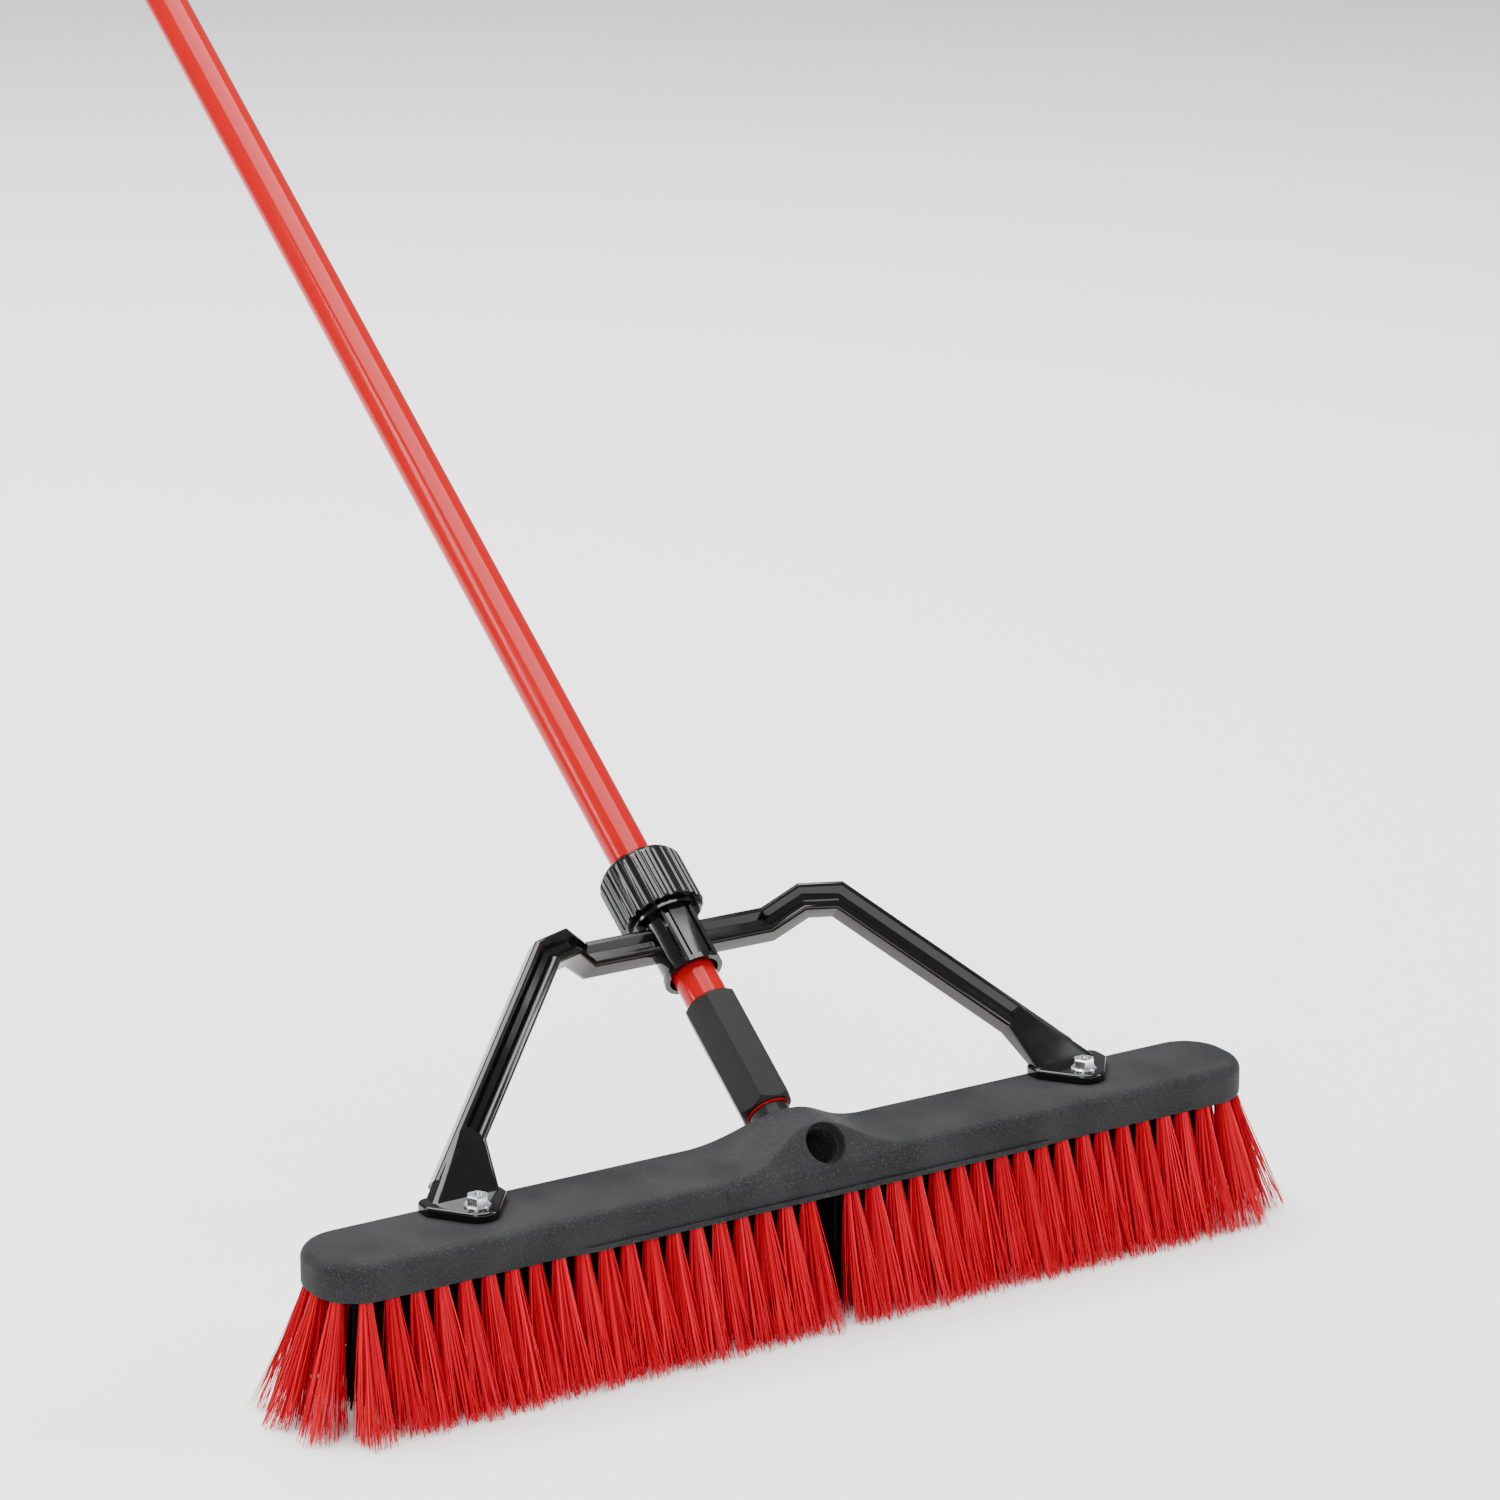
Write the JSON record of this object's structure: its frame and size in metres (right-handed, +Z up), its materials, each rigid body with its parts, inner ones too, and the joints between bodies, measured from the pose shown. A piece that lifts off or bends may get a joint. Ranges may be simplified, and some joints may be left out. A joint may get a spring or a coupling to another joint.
{
  "type": "push broom",
  "caption": "Push broom: long resin block with flared bristle rows, two angled threaded handle sockets, a bolted brace with a screw clamp, and a steel handle.",
  "frame": {"origin": "on the floor under the middle of the block, at the tips of the middle tuft", "axes": "+X along the block, +Y the way the handle leans, +Z up"},
  "size_m": [0.663, 1.2974, 0.9908],
  "materials": {
    "block_resin": "charcoal, fine grained",
    "red_bristle": "bright red split filaments",
    "black_bristle": "black filaments",
    "staple_steel": "bright wire",
    "gloss_black": "gloss black moulding",
    "zinc": "bright zinc plate",
    "ring_nylon": "plain black",
    "red_paint": "gloss red",
    "satin_black": "satin black"
  },
  "bodies": {
    "head": {"block": "block_resin", "red_tufts_front": "red_bristle", "red_tufts_back": "red_bristle", "red_tufts_left_end": "red_bristle", "red_tufts_right_end": "red_bristle", "black_tufts_front_row": "black_bristle", "black_tufts_middle_row": "black_bristle", "black_tufts_back_row": "black_bristle", "red_tuft_staples": "staple_steel", "black_tuft_staples": "staple_steel", "brace": "gloss_black", "brace_bolt_left": "zinc", "brace_bolt_right": "zinc"},
    "clamp_ring": {"grip_ring": "ring_nylon"},
    "knob": {"clamp_knob": "gloss_black"},
    "tip": {"threaded_tip": "satin_black"},
    "handle": {"handle_tube": "red_paint", "hex_grip": "satin_black", "end_cap": "satin_black"}
  },
  "joints": [
    {"name": "ring_rise", "type": "slide", "parent": "head", "child": "clamp_ring", "axis": [0, 0.809, 0.5878], "range_m": [0, 0.0045]},
    {"name": "knob_turn", "type": "hinge", "parent": "clamp_ring", "child": "knob", "pos_m": [0, 0.15762, 0.1998], "axis": [0, 0.809, 0.5878], "range_deg": [0, 540.1]},
    {"name": "handle_rise", "type": "slide", "parent": "head", "child": "tip", "axis": [0, 0.809, 0.5878], "range_m": [0, 0.0165]},
    {"name": "handle_turn", "type": "hinge", "parent": "tip", "child": "handle", "pos_m": [0, 0.05245, 0.12339], "axis": [0, 0.809, 0.5878], "range_deg": [0, 1188.1]}
  ],
  "couplings": [
    {"joint": "knob_turn", "follows": "ring_rise", "rad_per_m": 2094.4},
    {"joint": "handle_turn", "follows": "handle_rise", "rad_per_m": 1256.6}
  ]
}
